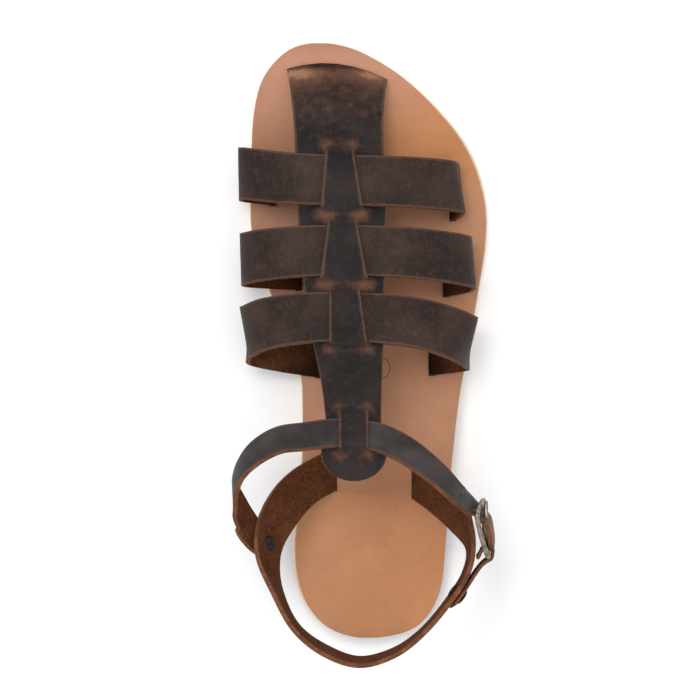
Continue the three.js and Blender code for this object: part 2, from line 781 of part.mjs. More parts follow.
function addPiece(name, piece, finish) {
  const { vertProperties, triVerts } = piece.getMesh();
  const geometry = new THREE.BufferGeometry();
  geometry.setAttribute('position', new THREE.BufferAttribute(vertProperties, 3));
  geometry.setIndex(new THREE.BufferAttribute(triVerts, 1));
  const mesh = new THREE.Mesh(geometry, new THREE.MeshStandardMaterial(finishes[finish]));
  mesh.name = name;
  sandal.add(mesh);
}

addPiece('insole', insole, 'insoleLeather');
addPiece('outsole', outsole, 'soleLeather');
addPiece('heel', heel, 'heelLeather');
addPiece('upper', upper, 'strapLeather');
addPiece('heel_strap', heelStrap, 'strapLeather');
addPiece('ankle_strap', ankleStrap, 'strapLeather');
addPiece('buckle_strap', buckleStrap, 'strapLeather');
addPiece('buckle_frame', buckleFrame(), 'agedBrass');
addPiece('buckle_prong', bar(prongBase, prongTip, prongRadius), 'agedBrass');
addPiece('rivet_inner', rivet(innerRivetFrame, ankleStrapStand + strapThickness / 2 + 2 * gap), 'agedBrass');
addPiece('rivet_outer', rivet(outerRivetFrame, buckleStrapStand + buckleStrapThickness / 2), 'agedBrass');

// The finished part stands on the floor with its origin under the middle of its box.
const box = new THREE.Box3().setFromObject(sandal);
const middle = box.getCenter(point(0, 0, 0));
sandal.position.set(-middle.x, -middle.y, -box.min.z);

export default sandal;
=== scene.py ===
import math

import bpy
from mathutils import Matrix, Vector, noise


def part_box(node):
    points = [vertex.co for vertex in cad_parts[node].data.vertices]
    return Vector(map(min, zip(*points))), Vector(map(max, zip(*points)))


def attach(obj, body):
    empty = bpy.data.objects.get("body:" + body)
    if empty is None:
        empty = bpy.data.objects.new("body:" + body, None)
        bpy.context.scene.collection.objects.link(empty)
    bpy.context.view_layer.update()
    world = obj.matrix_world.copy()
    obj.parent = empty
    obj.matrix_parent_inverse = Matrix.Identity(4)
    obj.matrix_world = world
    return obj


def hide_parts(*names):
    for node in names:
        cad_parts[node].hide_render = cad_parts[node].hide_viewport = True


# Strapped leather sandal, right foot, seen from straight above
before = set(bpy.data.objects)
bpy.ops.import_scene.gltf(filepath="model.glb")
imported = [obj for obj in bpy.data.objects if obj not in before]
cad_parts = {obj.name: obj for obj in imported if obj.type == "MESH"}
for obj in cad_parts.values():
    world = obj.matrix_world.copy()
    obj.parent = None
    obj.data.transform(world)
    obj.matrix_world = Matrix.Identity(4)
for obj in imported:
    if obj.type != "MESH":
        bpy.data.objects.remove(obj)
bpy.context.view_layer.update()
print("frame loaded")

# The shoe's own sizes, in metres and in shares of them
shoe = {
    "length": 0.2664,
    "ballWidth": 0.1057,
    "instepHeight": 0.048,
    "ankleHeight": 0.078,
    "ankleSpan": 0.104,
    "insole": 0.0036,
    "outsole": 0.0044,
    "layerGap": 0.0003,
    "heelLift": 0.008,
    "heelLength": 0.066,
    "toeSpring": 0.005,
    "insoleMiddle": 0.0010228,  # middle of the insole's box from the heel end's axis
    "heelEnd": 0.0002131,
}
mm = 0.001
insoleLow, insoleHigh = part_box("insole")
benchToFrame = Vector((
    (insoleLow.x + insoleHigh.x) / 2 - shoe["insoleMiddle"], insoleLow.y - shoe["heelEnd"], 0,
))


def smooth(value, low, high):
    t = min(max((value - low) / (high - low), 0), 1)
    return t * t * (3 - 2 * t)


def curvesOf(names, rows):
    # a table with named columns becomes one smooth function per column
    at = [row[0] for row in rows]
    made = {}
    for column, name in enumerate(names[1:], 1):
        values = [row[column] for row in rows]
        ends = [(max(i - 1, 0), min(i + 1, len(rows) - 1)) for i in range(len(rows))]
        slopes = [(values[b] - values[a]) / (at[b] - at[a]) for a, b in ends]

        def value(share, values=values, slopes=slopes):
            inside = min(max(share, at[0]), at[-1])
            i = 0
            while i < len(at) - 2 and inside > at[i + 1]:
                i += 1
            step = at[i + 1] - at[i]
            t = (inside - at[i]) / step
            rise = t * t * (3 - 2 * t)
            leave, arrive = t * (1 - t) ** 2 * step, t * t * (t - 1) * step
            return values[i] + (values[i + 1] - values[i]) * rise + slopes[i] * leave + slopes[i + 1] * arrive

        made[name] = value
    return made


def pathPoint(points, t, even=True):
    # a smooth curve through the points, at t from 0 to 1
    final = len(points) - 1
    p = final * min(max(t, 0), 1)
    i = min(int(p), final - 1)
    w = p - i
    p1, p2 = points[i], points[i + 1]
    p0 = points[i - 1] if i > 0 else p1 * 2 - p2
    p3 = points[i + 2] if i + 2 <= final else p2 * 2 - p1
    if even:
        d0, d1, d2 = [max((b - a).length, 1e-7) ** 0.5 for a, b in ((p0, p1), (p1, p2), (p2, p3))]
        t1 = ((p1 - p0) / d0 - (p2 - p0) / (d0 + d1) + (p2 - p1) / d1) * d1
        t2 = ((p2 - p1) / d1 - (p3 - p1) / (d1 + d2) + (p3 - p2) / d2) * d1
    else:
        t1, t2 = (p2 - p0) / 2, (p3 - p1) / 2
    return p1 + t1 * w + (p2 * 3 - p1 * 3 - t1 * 2 - t2) * w * w + (p1 * 2 - p2 * 2 + t1 + t2) * w ** 3


def footbed(at):
    spring = 2 * shoe["toeSpring"] * smooth(at, 0.78, 1.12)
    shank = shoe["heelLift"] * (1 - smooth(at, shoe["heelLength"] / shoe["length"] + 0.04, 0.57))
    return spring + shank + shoe["outsole"] + shoe["layerGap"] + shoe["insole"]


# The last's upper face: centre and half are shares of ballWidth, the rest of instepHeight and ankleHeight
last = curvesOf(("at", "centre", "half", "instep", "ankle"), [
    (0.276, -0.030, 0.40, 0.00, 1.01),
    (0.319, -0.030, 0.40, 0.00, 1.015),
    (0.351, -0.030, 0.40, 0.00, 0.99),
    (0.376, -0.030, 0.40, 0.10, 0.89),
    (0.404, -0.030, 0.41, 0.30, 0.70),
    (0.434, -0.029, 0.42, 0.56, 0.45),
    (0.490, -0.029, 0.46, 0.85, 0.15),
    (0.536, -0.029, 0.480, 1.00, 0.00),
    (0.647, -0.040, 0.481, 0.80, 0.00),
    (0.764, -0.069, 0.459, 0.645, 0.00),
    (0.826, -0.082, 0.45, 0.55, 0.00),
    (0.866, -0.095, 0.44, 0.45, 0.00),
    (0.901, -0.110, 0.43, 0.335, 0.00),
    (0.926, -0.120, 0.42, 0.21, 0.00),
    (0.938, -0.123, 0.41, 0.10, 0.00),
])
lastShoulder = 0.4
lastRoundness = 2.2


def crown(at):
    return last["instep"](at) * shoe["instepHeight"] + last["ankle"](at) * shoe["ankleHeight"]


def lastHeight(x, at):
    shoulder = crown(at) * lastShoulder
    side = min(abs(x - last["centre"](at) * shoe["ballWidth"]) / (last["half"](at) * shoe["ballWidth"]), 0.98)
    return shoulder + (crown(at) - shoulder) * (1 - side ** lastRoundness) ** (1 / lastRoundness)


def lastPoint(turn, at):
    # from the inner bulge at 0 over the crown to the outer bulge at 1
    angle = math.pi * (1 - turn)
    c, s = math.cos(angle), max(math.sin(angle), 0)
    out = math.copysign(abs(c) ** (2 / lastRoundness), c)
    shoulder = crown(at) * lastShoulder
    return Vector((
        (last["centre"](at) + out * last["half"](at)) * shoe["ballWidth"],
        at * shoe["length"],
        footbed(at) + shoulder + (crown(at) - shoulder) * s ** (2 / lastRoundness),
    ))


# Camera, light and floor
studio = {
    "field": 0.3136,  # width of the picture at the footbed
    "distance": 1.4,
    "footbed": 0.014,
    "aim": (-0.00717, 0.1289),
    "worldStrength": 0.84,
    "keyWatts": 5.5,
    "topWatts": 4.0,
}


def hexToLinear(code):
    parts = [int(code[i:i + 2], 16) / 255 for i in (1, 3, 5)]
    return tuple(p / 12.92 if p <= 0.04045 else ((p + 0.055) / 1.055) ** 2.4 for p in parts) + (1.0,)


def fill(tree, socket, value):
    if isinstance(value, bpy.types.NodeSocket):
        tree.links.new(value, socket)
    else:
        socket.default_value = hexToLinear(value) if isinstance(value, str) else value


def addNode(tree, kind, settings=None, **inputs):
    # adds a node, sets it, and fills or links its inputs
    node = tree.nodes.new(kind)
    for name, value in (settings or {}).items():
        setattr(node, name, value)
    for name, value in inputs.items():
        fill(tree, node.inputs[name.replace("_", " ")], value)
    return node


def maths(tree, operation, *values):
    node = addNode(tree, "ShaderNodeMath", {"operation": operation})
    for socket, value in zip(node.inputs, values):
        fill(tree, socket, value)
    return node.outputs[0]


def newMaterial(name, **values):
    material = bpy.data.materials.new(name)
    material.use_nodes = True
    shader = material.node_tree.nodes["Principled BSDF"]
    for key, value in values.items():
        shader.inputs[key.replace("_", " ")].default_value = value
    return material, material.node_tree, shader


def mixColours(tree, share, first, second):
    node = addNode(tree, "ShaderNodeMix", {"data_type": "RGBA"})
    for socket, value in ((0, share), (6, first), (7, second)):
        fill(tree, node.inputs[socket], value)
    return node.outputs[2]


def spread(tree, value, low, high, least=0.0, most=1.0):
    # a value from low to high becomes one from least to most
    node = addNode(tree, "ShaderNodeMapRange", {"interpolation_type": "SMOOTHSTEP"}, Value=value)
    for name, number in (("From Min", low), ("From Max", high), ("To Min", least), ("To Max", most)):
        node.inputs[name].default_value = number
    return node.outputs[0]


def noiseOf(tree, where, size, detail=3.0, rough=0.55):
    # size is the pattern's real size in metres
    node = addNode(
        tree, "ShaderNodeTexNoise", Vector=where, Scale=1 / size, Detail=detail, Roughness=rough,
    )
    return node.outputs[0]


def bumpOf(tree, height, strength, depth, under=None, invert=False):
    node = addNode(
        tree, "ShaderNodeBump", {"invert": invert}, Height=height, Strength=strength, Distance=depth,
    )
    if under is not None:
        tree.links.new(under, node.inputs["Normal"])
    return node.outputs[0]


def layered(tree, base, rows):
    # a row has a pattern, the values it runs between, the colour's share at each, and the colour
    for pattern, low, high, least, most, colour in rows:
        base = mixColours(tree, spread(tree, pattern, low, high, least, most), base, colour)
    return base


def placeOf(tree):
    return addNode(tree, "ShaderNodeTexCoord").outputs["Object"]


def markOf(tree, name):
    # a value that layLeather stores at each point of a strap
    return addNode(tree, "ShaderNodeAttribute", {"attribute_name": name}).outputs["Fac"]


def makeStudio():
    centre = Vector((studio["aim"][0], studio["aim"][1], studio["footbed"])) + benchToFrame
    camera = bpy.data.cameras.new("camera")
    camera.sensor_width = 36
    camera.lens = 36 * studio["distance"] / studio["field"]
    viewer = bpy.data.objects.new("camera", camera)
    viewer.location = centre + Vector((0, 0, studio["distance"]))
    bpy.context.scene.collection.objects.link(viewer)
    bpy.context.scene.camera = viewer

    bpy.ops.object.select_all(action="DESELECT")
    bpy.ops.mesh.primitive_plane_add(size=4, location=(0, 0, 0))
    floor = bpy.context.object
    floor.name = "floor"
    material, _, shader = newMaterial("matt white paper", Roughness=0.9)
    shader.inputs["Base Color"].default_value = hexToLinear("#fcfcfd")
    floor.data.materials.append(material)

    lamps = [  # name, place, side, watts, colour
        ("key softbox", (-0.18, 0.28, 1.22), 0.45, studio["keyWatts"], (1.0, 0.985, 0.96)),
        ("top softbox", (0, -0.25, 1.5), 1.6, studio["topWatts"], (0.95, 0.975, 1.0)),
    ]
    for name, place, side, watts, colour in lamps:
        lamp = bpy.data.lights.new(name, "AREA")
        lamp.size = side
        lamp.energy = watts
        lamp.color = colour
        holder = bpy.data.objects.new(name, lamp)
        holder.location = centre + Vector(place)
        holder.rotation_euler = (centre - holder.location).to_track_quat("-Z", "Y").to_euler()
        bpy.context.scene.collection.objects.link(holder)

    world = bpy.data.worlds.new("studio")
    world.use_nodes = True
    world.node_tree.nodes["Background"].inputs[0].default_value = (0.96, 0.98, 1.0, 1.0)
    world.node_tree.nodes["Background"].inputs[1].default_value = studio["worldStrength"]
    bpy.context.scene.world = world
    bpy.context.scene.view_settings.view_transform = "Standard"


makeStudio()
print("studio ready")

# Materials
strapColours = {
    "dark": "#241b18",
    "mid": "#3a2b25",
    "brown": "#5b4033",
    "blackDark": "#151212",
    "blackMid": "#292120",
    "blackBrown": "#4a3831",
    # a lighter copy of the black hide: painted sheen for the ankle band
    "sheenBlackDark": "#2a2525",
    "sheenBlackMid": "#443d3c",
    "worn": "#694433",
    # pale band on the toe bend: pull-up lightening, and painted highlight where the bend meets the light
    "stretchedAndLit": "#ab7d62",
    # painted shade just above the slots, where each strap goes down into the sole
    "slotShadePainted": "#170d08",
    "flesh": "#6a3e25",
    "fleshDark": "#3b2215",
    "edge": "#7d4f36",
    "edgeDark": "#472b1e",
    "fibre": "#9a6746",
}


def waxedGrain(name, dark, mid, brown, creased):
    # Pull-up cowhide, oiled and waxed: dark, reddish brown where it bends, with fine creases across
    material, tree, shader = newMaterial(name, IOR=1.5)
    shader.inputs["Specular IOR Level"].default_value = 0.16
    colours = strapColours
    where = placeOf(tree)
    flat = addNode(tree, "ShaderNodeTexCoord").outputs["UV"]
    wearAndPaintedLight, rim = markOf(tree, "wearAndPaintedLight"), markOf(tree, "rim")
    cloud = noiseOf(tree, where, 22 * mm, 4)
    fleck = noiseOf(tree, where, 3.5 * mm, 5, 0.65)
    speck = noiseOf(tree, where, 1.4 * mm, 4, 0.7)
    # the maps are laid out in centimetres, so that creases run across a strap
    along = addNode(tree, "ShaderNodeMapping", Vector=flat, Scale=(2.4, 13.0, 1.0)).outputs[0]
    crease = noiseOf(tree, along, 1.0, 4, 0.6)
    ragged = maths(tree, "MULTIPLY_ADD", fleck, 0.9, wearAndPaintedLight)
    edging = maths(tree, "MULTIPLY_ADD", fleck, 0.7, rim)
    base = layered(tree, colours[dark], [
        (cloud, 0.35, 0.68, 0, 1, colours[mid]),
        (fleck, 0.45, 0.85, 0, 0.45, colours[brown]),
        (crease, 0.45, 0.85, 0, creased, colours[brown]),
        (speck, 0.5, 0.75, 0, 0.9 * creased, colours[brown]),
        (speck, 0.3, 0.5, 1.3 * creased, 0, colours[dark]),
        # wax rubbed off at the slit ends and along the edges, a pale band on the toe bend that is partly
        # painted highlight, and painted shade just above the slots
        (ragged, 0.5, 1.4, 0, 0.85, colours["worn"]),
        (edging, 0.98, 1.4, 0, 0.75, colours["brown"]),
        (ragged, 1.2, 2.1, 0, 0.8, colours["stretchedAndLit"]),
        (wearAndPaintedLight, -1, -0.05, 0.8, 0, colours["slotShadePainted"]),
    ])
    tree.links.new(base, shader.inputs["Base Color"])
    tree.links.new(spread(tree, fleck, 0.3, 0.75, 0.5, 0.72), shader.inputs["Roughness"])
    # grain cells 0.9 mm across, drawn a little coarse so that they show
    cells = addNode(
        tree, "ShaderNodeTexVoronoi", {"feature": "SMOOTH_F1"}, Vector=where, Scale=1 / (0.9 * mm),
    )
    low = bumpOf(tree, fleck, 0.3, 0.5 * mm)
    folds = bumpOf(tree, crease, creased, 0.25 * mm, low)
    fine = bumpOf(tree, cells.outputs["Distance"], 0.3, 0.12 * mm, folds)
    tree.links.new(fine, shader.inputs["Normal"])
    return material


def brushedFlesh():
    # Flesh side of the hide, split and brushed: a dull warm nap without shine
    material, tree, shader = newMaterial("flesh side of cowhide, brushed", IOR=1.4, Roughness=0.95)
    shader.inputs["Specular IOR Level"].default_value = 0.08
    colours = strapColours
    where = placeOf(tree)
    patch = noiseOf(tree, where, 9 * mm, 5, 0.65)
    nap = noiseOf(tree, where, 1.3 * mm, 5, 0.75)  # about twice the real nap, so that it shows
    base = layered(tree, colours["fleshDark"], [
        (patch, 0.1, 0.95, 0, 1, colours["flesh"]),
        (nap, 0.42, 0.7, 0, 0.5, colours["edge"]),
        (nap, 0.28, 0.48, 0.55, 0, colours["fleshDark"]),
        # painted shade on the flesh side just above the slots
        (markOf(tree, "wearAndPaintedLight"), -1, -0.05, 0.9, 0, colours["slotShadePainted"]),
    ])
    tree.links.new(base, shader.inputs["Base Color"])
    tree.links.new(bumpOf(tree, nap, 0.7, 0.3 * mm), shader.inputs["Normal"])
    return material


def cutEdge():
    # Cut edge of the strap, left raw: warm brown fibres, a little lighter than either side
    material, tree, shader = newMaterial("cowhide, cut raw", IOR=1.45, Roughness=0.85)
    shader.inputs["Specular IOR Level"].default_value = 0.15
    colours = strapColours
    where = placeOf(tree)
    fibre = noiseOf(tree, where, 1.2 * mm, 4, 0.75)
    patch = noiseOf(tree, where, 6 * mm, 3)
    base = layered(tree, colours["edgeDark"], [
        (patch, 0.1, 0.9, 0, 1, colours["edge"]),
        (fibre, 0.45, 0.75, 0, 0.65, colours["fibre"]),
        (fibre, 0.25, 0.45, 0.45, 0, colours["edgeDark"]),
    ])
    tree.links.new(base, shader.inputs["Base Color"])
    tree.links.new(bumpOf(tree, fibre, 0.6, 0.25 * mm), shader.inputs["Normal"])
    return material


brownHide = waxedGrain("pull-up cowhide, brown, oiled", "dark", "mid", "brown", 0.3)
blackHide = waxedGrain("pull-up cowhide, near black, waxed", "blackDark", "blackMid", "blackBrown", 0.1)
# the black hide painted lighter and greyer as sheen
sheenedBlackHide = waxedGrain(
    "pull-up cowhide, near black, painted sheen", "sheenBlackDark", "sheenBlackMid", "blackBrown", 0.1,
)
fleshSide, rawEdge = brushedFlesh(), cutEdge()

insoleColours = {
    # the inner colours are the outer ones painted darker and pinker as shade
    "tan": "#c4865a",
    "tanShadedInner": "#b8815b",
    "pinkShadedInner": "#b07e61",
    "warm": "#c0814f",
    "toe": "#c08c73",
    "deep": "#96623f",
    "blush": "#b6866d",
    "ringShade": "#6d4630",
    "ring": (5.8 * mm, 120.8 * mm),
    "ringRadius": 5.0 * mm,
}


def tannedInsole():
    # Vegetable-tanned shoulder, smooth and lightly glazed: matt tan with fine pores
    material, tree, shader = newMaterial("vegetable-tanned shoulder, lightly glazed", IOR=1.48)
    shader.inputs["Specular IOR Level"].default_value = 0.3
    colours = insoleColours
    where = placeOf(tree)
    x, y, _ = addNode(tree, "ShaderNodeSeparateXYZ", Vector=where).outputs
    cloud = noiseOf(tree, where, 35 * mm, 3)
    mottle = noiseOf(tree, where, 4 * mm, 5, 0.6)
    pore = noiseOf(tree, where, 0.8 * mm, 3, 0.6)
    # painted shade: the inner side is darker and pinker than the outer, at the front and at the seat
    across = spread(tree, x, -0.035, 0.04)
    front = mixColours(tree, across, colours["pinkShadedInner"], colours["warm"])
    # the toe end is lighter and pinker: partly the leather's tone, partly painted sheen
    front = mixColours(tree, spread(tree, y, 0.085, 0.125, 0, 0.7), front, colours["toe"])
    seat = mixColours(tree, across, colours["tanShadedInner"], colours["tan"])
    base = mixColours(tree, spread(tree, y, -0.06, 0.03), seat, front)
    rear, fore = spread(tree, y, -0.07, -0.04), spread(tree, y, 0.06, 0.09, 0.65, 0)
    base = mixColours(tree, maths(tree, "MULTIPLY", rear, fore), base, colours["blush"])
    base = layered(tree, base, [
        (cloud, 0.35, 0.75, 0, 0.3, colours["deep"]),
        (mottle, 0.42, 0.8, 0, 0.16, colours["deep"]),
    ])
    # a plain ring pressed in beside the strip
    ringX, ringY = colours["ring"]
    level = addNode(tree, "ShaderNodeCombineXYZ", X=x, Y=y).outputs[0]
    apart = addNode(tree, "ShaderNodeVectorMath", {"operation": "DISTANCE"}, Vector=level)
    fill(tree, apart.inputs[1], (ringX + benchToFrame.x, ringY + benchToFrame.y, 0))
    off = maths(tree, "SUBTRACT", apart.outputs["Value"], colours["ringRadius"])
    pressed = spread(tree, maths(tree, "ABSOLUTE", off), 0.15 * mm, 0.45 * mm, 1, 0)
    base = mixColours(tree, maths(tree, "MULTIPLY", pressed, 0.6), base, colours["ringShade"])
    tree.links.new(base, shader.inputs["Base Color"])
    tree.links.new(spread(tree, mottle, 0.3, 0.7, 0.55, 0.7), shader.inputs["Roughness"])
    dent = bumpOf(tree, pressed, 0.5, 0.3 * mm, invert=True)
    tree.links.new(bumpOf(tree, pore, 0.25, 0.12 * mm, dent), shader.inputs["Normal"])
    return material


waveUnit = 0.31416  # length of one band of the wave texture at a scale of 1


def soleLeather(name, pale, deep, layer=None):
    # Oak-bark sole leather, cut and dressed; the heel's is stacked in layers
    material, tree, shader = newMaterial(name, IOR=1.5, Roughness=0.6)
    where = placeOf(tree)
    fibre = noiseOf(tree, where, 1.2 * mm, 4, 0.65)
    cloud = noiseOf(tree, where, 18 * mm, 3)
    base = layered(tree, pale, [
        (cloud, 0.35, 0.7, 0, 0.6, deep),
        (fibre, 0.45, 0.8, 0, 0.35, deep),
    ])
    if layer:
        stack = addNode(
            tree, "ShaderNodeTexWave", {"wave_type": "BANDS", "bands_direction": "Z"},
            Vector=where, Scale=waveUnit / layer, Distortion=0.4,
        )
        base = layered(tree, base, [(stack.outputs[1], 0, 0.25, 0.55, 0, "#3a2419")])
    tree.links.new(base, shader.inputs["Base Color"])
    tree.links.new(bumpOf(tree, fibre, 0.3, 0.15 * mm), shader.inputs["Normal"])
    return material


def agedBrass():
    # Brass wire, nickel-washed, tumbled and aged: dull warm grey, dark in the hollows
    material, tree, shader = newMaterial("brass wire, nickel-washed and aged", Metallic=1.0)
    patch = noiseOf(tree, placeOf(tree), 2.5 * mm, 4, 0.65)
    base = layered(tree, "#a59a86", [(patch, 0.35, 0.7, 0, 1, "#6f6558")])
    tree.links.new(base, shader.inputs["Base Color"])
    tree.links.new(spread(tree, patch, 0.3, 0.7, 0.3, 0.5), shader.inputs["Roughness"])
    tree.links.new(bumpOf(tree, patch, 0.15, 0.1 * mm), shader.inputs["Normal"])
    return material


def nearlyBlackBrass():
    # Brass rivets, hammered: nearly black, with lighter patches
    material, tree, shader = newMaterial("brass rivet, nearly black", Metallic=0.6, Roughness=0.55)
    patch = noiseOf(tree, placeOf(tree), 1.5 * mm, 3)
    base = layered(tree, "#1d1917", [(patch, 0.4, 0.75, 0, 1, "#3d342d")])
    tree.links.new(base, shader.inputs["Base Color"])
    return material


brassMaterial = agedBrass()
rivetMaterial = nearlyBlackBrass()
print("materials ready")


def makeActive(piece):
    bpy.ops.object.select_all(action="DESELECT")
    piece.select_set(True)
    bpy.context.view_layer.objects.active = piece


def deselect(mesh):
    for kind in (mesh.vertices, mesh.edges, mesh.polygons):
        for item in kind:
            item.select = False


def applyAll(piece):
    makeActive(piece)
    for modifier in list(piece.modifiers):
        bpy.ops.object.modifier_apply(modifier=modifier.name)


# Straps
strapSizes = {
    "thickness": 2.0 * mm,
    "edgeRound": 0.4 * mm,
    "waver": 0.25 * mm,  # how far a strap's face strays from true
    "waverLength": 0.022,
    "rimShare": 2.4 * mm,
    "seatShade": 4.5 * mm,
    "hole": 1.35 * mm,
    "mapScale": 100,  # the maps are in centimetres
}
nodeThickness = 2.2 * mm  # wall of the straps' solids


def layLeather(name, rows, uvSize, outside, hide=None, slit=None, wearAndPaintedLightAt=None, thickness=None, holes=()):
    # a grid primitive is laid along the strap's own rows, and given its thickness and edges
    bpy.ops.object.select_all(action="DESELECT")
    lines, columns = len(rows) - 1, len(rows[0]) - 1
    bpy.ops.mesh.primitive_grid_add(x_subdivisions=columns, y_subdivisions=lines, size=1)
    piece = bpy.context.object
    piece.name = piece.data.name = name
    mesh = piece.data
    cell = [(round((v.co.y + 0.5) * lines), round((v.co.x + 0.5) * columns)) for v in mesh.vertices]
    for label, kind in (("line", "INT"), ("column", "INT"), ("wearAndPaintedLight", "FLOAT"), ("rim", "FLOAT")):
        mesh.attributes.new(label, kind, "POINT")
    for v, (i, j) in zip(mesh.vertices, cell):
        v.co = rows[i][j]
        mesh.attributes["line"].data[v.index].value = i
        mesh.attributes["column"].data[v.index].value = j
    for corner in mesh.uv_layers.active.data:
        corner.uv = [share * size * strapSizes["mapScale"] for share, size in zip(corner.uv, uvSize)]

    if slit:
        # the slits are cut by splitting the grid's edges, then the tabs between them are lifted
        deselect(mesh)
        for edge in mesh.edges:
            (i, j), (k, m) = cell[edge.vertices[0]], cell[edge.vertices[1]]
            edge.select = j == m and j in slit["columns"] and slit["isCut"](min(i, k))
        bpy.ops.object.mode_set(mode="EDIT")
        bpy.ops.mesh.select_mode(type="EDGE")
        bpy.ops.mesh.edge_split(type="EDGE")
        bpy.ops.object.mode_set(mode="OBJECT")
        lineValues, columnValues = mesh.attributes["line"].data, mesh.attributes["column"].data
        first, final = slit["columns"]
        for face in mesh.polygons:
            middle = sum(columnValues[v].value for v in face.vertices) / len(face.vertices)
            if first < middle < final:
                for v in face.vertices:
                    mesh.vertices[v].co = slit["lifted"](lineValues[v].value, columnValues[v].value)

    sizes = strapSizes
    wearAndPaintedLight, rim = mesh.attributes["wearAndPaintedLight"], mesh.attributes["rim"]
    lineValues, columnValues = mesh.attributes["line"].data, mesh.attributes["column"].data
    normals = [v.normal.copy() for v in mesh.vertices]
    for v in mesh.vertices:
        # the mark holds real wear, a painted highlight on the toe bend, and painted shade just above the
        # slots as negative values
        wearAndPaintedLight.data[v.index].value = wearAndPaintedLightAt(v.co) if wearAndPaintedLightAt else 0
        column = columnValues[v.index].value
        side = min(column, columns - column)
        if slit and slit["isCut"](lineValues[v.index].value):
            side = min([side] + [abs(column - cut) for cut in slit["columns"]])
        rim.data[v.index].value = max(0.0, 1 - side / columns * uvSize[0] / sizes["rimShare"])
    facing = sum(n.dot(v.co - Vector(outside)) for n, v in zip(normals, mesh.vertices))
    for v, normal in zip(mesh.vertices, normals):
        v.co += normal * noise.noise(v.co / sizes["waverLength"]) * sizes["waver"]
        v.co += benchToFrame
    if facing < 0:
        bpy.ops.object.mode_set(mode="EDIT")
        bpy.ops.mesh.select_all(action="SELECT")
        bpy.ops.mesh.flip_normals()
        bpy.ops.object.mode_set(mode="OBJECT")

    if holes:
        # each punched hole is a bevelled vertex whose face is taken out
        makeActive(piece)
        deselect(mesh)
        lineValues, columnValues = mesh.attributes["line"].data, mesh.attributes["column"].data
        for v in mesh.vertices:
            v.select = (lineValues[v.index].value, columnValues[v.index].value) in holes
        bpy.ops.object.mode_set(mode="EDIT")
        bpy.ops.mesh.select_mode(type="VERT")
        bpy.ops.mesh.bevel(offset=sizes["hole"], segments=2, affect="VERTICES", clamp_overlap=False)
        bpy.ops.mesh.select_mode(type="FACE")
        bpy.ops.mesh.delete(type="FACE")
        bpy.ops.object.mode_set(mode="OBJECT")

    for material in (hide or brownHide, fleshSide, rawEdge):
        mesh.materials.append(material)
    wall = piece.modifiers.new("wall", "SOLIDIFY")
    wall.thickness = thickness or sizes["thickness"]
    wall.offset = 0
    wall.use_even_offset = False
    wall.material_offset = 1
    wall.material_offset_rim = 2
    rounding = piece.modifiers.new("rounding", "BEVEL")
    rounding.width = sizes["edgeRound"]
    rounding.segments = 2
    rounding.limit_method = "ANGLE"
    rounding.angle_limit = math.radians(60)
    finer = piece.modifiers.new("finer", "SUBSURF")
    finer.levels = finer.render_levels = 1
    applyAll(piece)
    bpy.ops.object.shade_smooth()
    return piece


def bandRows(knots, width, perKnot=6, columns=6):
    # rows of points across a band: each knot has its place, the way its upper or rear edge faces,
    # and its share of the width
    nudge = 0.0005
    places = [k[0] for k in knots]
    aims = [Vector(k[1]).normalized() for k in knots]
    wides = [Vector((k[2] if len(k) > 2 else 1, 0, 0)) for k in knots]
    count = (len(knots) - 1) * perKnot
    rows, frames, run = [], [], 0
    for i in range(count + 1):
        t = i / count
        place = pathPoint(places, t)
        ahead = (pathPoint(places, t + nudge) - pathPoint(places, t - nudge)).normalized()
        across = pathPoint(aims, t, False)
        across = (across - ahead * across.dot(ahead)).normalized()
        half = across * width / 2 * pathPoint(wides, t, False).x
        rows.append([place + half * (2 * j / columns - 1) for j in range(columns + 1)])
        if frames:
            run += (place - frames[-1]["place"]).length
        frames.append({
            "place": place, "ahead": ahead, "across": across,
            "out": ahead.cross(across).normalized(), "run": run,
        })
    return rows, frames


tailDepth = 3.3 * mm
mouthRise = 2.0 * mm
aimStep = 0.01  # an edge is aimed along the last over this share of the length, each way


def seatTails(rows):
    for line in (rows[0], rows[-1]):
        for p in line:
            p.z = footbed(p.y / shoe["length"]) - tailDepth
    return rows


# Cross straps, from the toe back: places are shares of the length, slots are shares of ballWidth
crossStraps = {
    "width": 23 * mm,
    "straps": [
        {
            "name": "toe_strap", "at": 0.7635, "bows": (0.016, -0.008), "power": 2,
            "inner": (-0.393, 0.771), "outer": (0.370, 0.746),
        },
        {
            "name": "ball_strap", "at": 0.6468, "bows": (-0.012, -0.017), "power": 3,
            "inner": (-0.284, 0.628), "outer": (0.341, 0.6175),
        },
        {
            "name": "instep_strap", "at": 0.5365, "bows": (-0.024, -0.040), "power": 4,
            "inner": (-0.200, 0.481), "outer": (0.280, 0.485),
        },
    ],
}


def slotKnots(side, at, bulge):
    x, y, base = side * shoe["ballWidth"], at * shoe["length"], footbed(at)
    rise, out, drift = bulge.z - base, bulge.x - x, bulge.y - y
    ahead = (0, 1, 0)
    return [
        (Vector((x, y, base - tailDepth)), ahead),
        (Vector((x, y, base)), ahead),
        (Vector((x, y, base + mouthRise)), ahead),
        (Vector((x + out * 0.45, y + drift * 0.25, base + mouthRise + rise * 0.16)), ahead),
        (Vector((x + out * 0.9, y + drift * 0.62, base + rise * 0.5)), ahead),
    ]


def paintedSeatShade(p):
    # negative values are painted shade: the last millimetres above a slot are the darkest
    height = max(0, p.z - footbed(p.y / shoe["length"]))
    return -math.exp(-((height / strapSizes["seatShade"]) ** 2))


